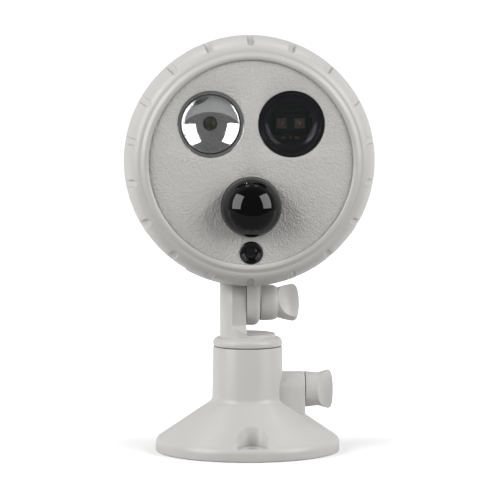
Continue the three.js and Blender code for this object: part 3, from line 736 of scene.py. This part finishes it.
def night_pieces(looks):
    """The two emitters with the frame and the small parts round them on their board."""
    for side, node in ((-1, "night_emitter_left"), (1, "night_emitter_right")):
        x = WINDOW_X + side * NIGHT_PITCH / 2
        shell = box_piece("night_package", 5.0, 5.0, 20.8, 22.4, x, WINDOW_Z)
        combine(shell, [box_piece("well", 3.9, 3.9, 21.7, 23, x, WINDOW_Z)], "DIFFERENCE")
        rounded_edges(shell, 0.15, 2)
        fit_out(shell, looks["emitter_white"], "front_unit", "emitter_white", node)
        fill = rounded_edges(box_piece("night_resin", 3.7, 3.7, 21.6, 22.1, x, WINDOW_Z), 0.1, 2)
        fit_out(fill, looks["resin"], "front_unit", "emitter_white")
        die = rounded_edges(box_piece("night_die", 1.1, 1.1, 22.05, 22.3, x, WINDOW_Z), 0.06, 2)
        fit_out(die, looks["steel"], "front_unit", "emitter_white")
    frame_bar = box_piece("night_frame", 17.6, 10.4, 20.55, 21.3, WINDOW_X, WINDOW_Z)
    combine(frame_bar, [box_piece("gap", 16.2, 9.0, 20, 23, WINDOW_X, WINDOW_Z)], "DIFFERENCE")
    rounded_edges(frame_bar, 0.15, 2)
    fit_out(frame_bar, looks["black_plastic"], "front_unit", "green_board")
    for dx, dz, width, height in ((-3.4, -7.2, 2.0, 1.2), (0.2, -6.9, 1.4, 1.6), (3.3, -7.3, 2.4, 1.2)):
        chip = box_piece("night_chip", width, height, 20.55, 21.4, WINDOW_X + dx, WINDOW_Z + dz)
        rounded_edges(chip, 0.12, 2)
        fit_out(chip, looks["brown_chip"], "front_unit", "green_board")


def optics_pieces(looks):
    front = (-WINDOW_X, 0, WINDOW_Z)
    night = (WINDOW_X, 0, WINDOW_Z)
    pane = [(0, 28.3), (16.1, 28.3), (16.3, 28.45), (16.3, 29.5), (16.22, 29.7), (16.0, 29.78),
            (10, 29.8), (0, 29.8)]
    radii = [3.6 + (CUP_RIM - 3.6) * k / 24 for k in range(25)]
    cup = [(r, cup_depth(r)) for r in radii]
    cup += [(14.5, 27.2), (14.62, 27.9), (14.75, 28.05), (16.1, 28.1), (16.2, 28.0), (16.2, 27.85),
            (15.0, 27.8), (14.75, 27.6), (14.75, 26.4), (14.6, 25.8)]
    cup += [(r, cup_depth(r) - 0.6) for r in reversed(radii[:-1])]
    fit_out(turned("lamp_window", pane, "front", front, 128), looks["clear_window"],
            "front_unit", "clear_window", "spot_window")
    fit_out(turned("lamp_mirror", cup, "front", front, 128), looks["mirror_cup"],
            "front_unit", "mirror_cup", "spot_reflector")
    fit_out(turned("night_pane", pane, "front", night, 128), looks["smoked_window"],
            "front_unit", "smoked_window", "night_window")
    funnel = soften([(10.3, 21.0), (11.6, 21.0), (14.6, 25.9), (14.6, 27.8), (16.2, 27.8), (16.2, 28.1),
                     (14.3, 28.1), (13.6, 26.9), (12.4, 25.7), (10.9, 24.7), (10.3, 24.1)], 0.4, 4)
    fit_out(turned("night_funnel", funnel, "front", night, 128), looks["night_grey"],
            "front_unit", "black_plastic", "night_cup")
    chip = [(0, 20.2), (3.1, 20.2), (3.2, 20.4), (3.2, 21.7), (3.0, 22.2), (2.5, 22.8), (1.6, 23.3),
            (0.8, 23.5), (0, 23.55)]
    fit_out(turned("lamp_chip", chip, "front", front, 64), looks["emitter_yellow"],
            "front_unit", "emitter_yellow", "spot_emitter")
    rise, bore = DOME_TOP_D - DOME_FOOT_D, DOME_R - DOME_WALL
    outer, inner = [], []
    for k in range(29):
        t = math.radians(90 * k / 28)
        outer.append((DOME_R * math.cos(t), DOME_FOOT_D + rise * math.sin(t)))
        inner.insert(0, (bore * math.cos(t), DOME_FOOT_D + (rise - DOME_WALL) * math.sin(t)))
    outer[-1] = (0, DOME_TOP_D)
    inner[0] = (0, DOME_TOP_D - DOME_WALL)
    flange = [(bore, 25.9), (16.7, 25.9), (16.7, 27.3), (DOME_R, 27.3)]
    dome = flange + outer + inner
    fit_out(turned("motion_lens", dome, "front", (0, 0, DOME_Z), 128),
            looks["dome_plastic"], "front_unit", "dome_plastic", "motion_dome")
    trim = soften([(3.35, 26.9), (5.6, 26.9), (5.6, 30.2), (5.2, 30.6), (4.75, 30.5), (4.45, 29.9),
                   (4.45, 29.5), (4.0, 29.45), (3.95, 29.05), (3.6, 29.0), (3.55, 28.6),
                   (3.35, 28.55)], 0.12, 3)
    fit_out(turned("camera_ring", trim, "front", (0, 0, LENS_Z), 96),
            looks["black_gloss"], "front_unit", "black_plastic", "camera_trim")
    lens = [(0, 26.9), (3.2, 26.9), (3.2, 28.2), (2.6, 28.5), (1.6, 28.75), (0, 28.85)]
    fit_out(turned("camera_lens", lens, "front", (0, 0, LENS_Z), 64),
            looks["lens_glass"], "front_unit", "lens_glass", "camera_glass")


# ---------------------------------------------------------------- light, floor and camera


# Floor in metres, with its tone where it lights the object from the front and from behind.
FLOOR_SIDE, FLOOR_NEAR, FLOOR_FAR = 0.9, -0.27, 1.2
FLOOR_FRONT, FLOOR_BACK = 0.30, 0.93
# Glow that the camera alone sees on the floor, close to the object and away from it.
LIFT_NEAR, LIFT_FAR = 0.06, 0.7
# World strength in front, behind, and as the camera sees it.
WORLD_FRONT, WORLD_BACK, WORLD_SEEN = 0.14, 0.62, 1.05
# Radiance of the tall side lights and of the narrow top lights.
STRIP, TOP = 5.45, 3.0
# Where the camera stands, in metres and degrees, and what it looks at.
CAMERA_AWAY, CAMERA_AZIMUTH, CAMERA_ELEVATION = 1.9, -3.43, 5.36
CAMERA_TARGET = (0.00119, 0, 0.10044)
CAMERA_LENS = 274.0


def area_light(name, direction, distance, width, height, radiance, target=(0, 0, 0.13)):
    data = bpy.data.lights.new(name, "AREA")
    data.shape = "RECTANGLE"
    data.size, data.size_y = width, height
    data.energy = radiance * math.pi * width * height
    light = bpy.data.objects.new(name, data)
    bpy.context.scene.collection.objects.link(light)
    away = Vector(direction).normalized()
    light.location = Vector(target) + away * distance
    light.rotation_euler = away.to_track_quat("Z", "Y").to_euler()
    return light


def ranged(nodes, start, end, low, high, kind="LINEAR"):
    """A node that maps start..end to low..high."""
    node = nodes.new("ShaderNodeMapRange")
    node.interpolation_type = kind
    for socket, value in zip(("From Min", "From Max", "To Min", "To Max"), (start, end, low, high)):
        node.inputs[socket].default_value = value
    return node


def surroundings():
    """White world, dimmer in front of the object than behind it, plain white to the camera."""
    world = bpy.data.worlds.new("studio")
    bpy.context.scene.world = world
    world.use_nodes = True
    nodes, links = world.node_tree.nodes, world.node_tree.links
    background = nodes["Background"]
    place = nodes.new("ShaderNodeTexCoord")
    split = nodes.new("ShaderNodeSeparateXYZ")
    links.new(place.outputs["Generated"], split.inputs["Vector"])
    ramp = ranged(nodes, -0.35, 0.5, WORLD_FRONT, WORLD_BACK, "SMOOTHSTEP")
    links.new(split.outputs["Y"], ramp.inputs["Value"])
    seen = nodes.new("ShaderNodeLightPath")
    strength = nodes.new("ShaderNodeMix")
    links.new(seen.outputs["Is Camera Ray"], strength.inputs["Factor"])
    links.new(ramp.outputs["Result"], strength.inputs["A"])
    strength.inputs["B"].default_value = WORLD_SEEN
    links.new(strength.outputs["Result"], background.inputs["Strength"])
    background.inputs["Color"].default_value = (1, 1, 1, 1)


def floor_material():
    """Matt pale floor that fades to white a little way from the object."""
    look = bpy.data.materials.new("pale_floor")
    look.use_nodes = True
    nodes, links = look.node_tree.nodes, look.node_tree.links
    shader = nodes["Principled BSDF"]
    shader.inputs["Roughness"].default_value = 0.9
    shader.inputs["Specular IOR Level"].default_value = 0.0
    seen = nodes.new("ShaderNodeLightPath")
    pale = nodes.new("ShaderNodeMix")
    pale.data_type = "RGBA"
    place = nodes.new("ShaderNodeTexCoord")
    split = nodes.new("ShaderNodeSeparateXYZ")
    links.new(place.outputs["Object"], split.inputs["Vector"])
    depth = ranged(nodes, -0.05, 0.1, FLOOR_FRONT, FLOOR_BACK)
    links.new(split.outputs["Y"], depth.inputs["Value"])
    links.new(depth.outputs["Result"], pale.inputs["A"])
    pale.inputs["B"].default_value = (FLOOR_BACK, FLOOR_BACK, FLOOR_BACK, 1)
    links.new(seen.outputs["Is Camera Ray"], pale.inputs["Factor"])
    links.new(pale.outputs["Result"], shader.inputs["Base Color"])
    shader.inputs["Emission Color"].default_value = (1, 1, 1, 1)
    away = nodes.new("ShaderNodeVectorMath")
    away.operation = "LENGTH"
    links.new(place.outputs["Object"], away.inputs[0])
    glow = ranged(nodes, 0.06, 0.3, LIFT_NEAR, LIFT_FAR)
    links.new(away.outputs["Value"], glow.inputs["Value"])
    lift = nodes.new("ShaderNodeMath")
    lift.operation = "MULTIPLY"
    links.new(glow.outputs["Result"], lift.inputs[1])
    links.new(seen.outputs["Is Camera Ray"], lift.inputs[0])
    links.new(lift.outputs["Value"], shader.inputs["Emission Strength"])
    return look


def studio():
    view = bpy.context.scene.view_settings
    view.view_transform = "Standard"
    view.look = "None"
    surroundings()
    area_light("strip_left", (-0.825, -0.435, 0.364), 1.6, 1.08, 1.42, STRIP)
    area_light("strip_right", (0.825, -0.50, 0.40), 1.6, 1.05, 1.38, STRIP)
    area_light("top_left", (-0.26, 0.25, 0.92), 1.5, 0.30, 0.7, TOP)
    area_light("top_right", (0.32, 0.25, 0.92), 1.5, 0.30, 0.7, TOP)
    mesh = bpy.data.meshes.new("floor")
    corners = [(-FLOOR_SIDE, FLOOR_NEAR), (FLOOR_SIDE, FLOOR_NEAR), (FLOOR_SIDE, FLOOR_FAR),
               (-FLOOR_SIDE, FLOOR_FAR)]
    mesh.from_pydata([(x, y, 0) for x, y in corners], [], [(0, 1, 2, 3)])
    mesh.materials.append(floor_material())
    add_object("floor", mesh)


def camera():
    azimuth, elevation = math.radians(CAMERA_AZIMUTH), math.radians(CAMERA_ELEVATION)
    away = Vector((math.sin(azimuth) * math.cos(elevation), -math.cos(azimuth) * math.cos(elevation),
                   math.sin(elevation)))
    data = bpy.data.cameras.new("camera")
    data.sensor_width = 36
    data.lens = CAMERA_LENS
    data.clip_start, data.clip_end = 0.1, 20
    cam = bpy.data.objects.new("camera", data)
    bpy.context.scene.collection.objects.link(cam)
    cam.location = Vector(CAMERA_TARGET) + away * CAMERA_AWAY
    cam.rotation_euler = away.to_track_quat("Z", "Y").to_euler()
    bpy.context.scene.camera = cam


# ---------------------------------------------------------------- build

looks = make_materials()

for row in frame["record"]["subparts"]:
    node = bpy.data.objects.get(row["node"])
    if node is not None:
        node.data.materials.clear()
        node.data.materials.append(looks[row["material_slot"]])

camera()
studio()
fit_out(stand_piece(), looks["shell"], "stand", "shell", "base_stand")
fit_out(knob_piece("pan_knob_moulding", PAN_KNOB, PAN_SEAT_X, CLAMP_Z, 0), looks["shell"],
        "pan_clamp_knob", "shell", "pan_knob")
fit_out(swivel_piece(), looks["shell"], "swivel", "shell", "swivel_post")
fit_out(knob_piece("tilt_knob_moulding", TILT_KNOB, TILT_SEAT_X, TILT_Z, TILT_KNOB_TURN),
        looks["shell"], "tilt_clamp_knob", "shell", "tilt_knob")
fit_out(housing_piece(), looks["shell"], "head", "shell", "rear_housing")
fit_out(ring_piece(), looks["shell"], "lock_ring_body", "shell", "lock_ring")
fit_out(panel_piece(), looks["shell_grained"], "front_unit", "shell_grained", "front_panel")
optics_pieces(looks)
night_pieces(looks)

bpy.context.view_layer.update()
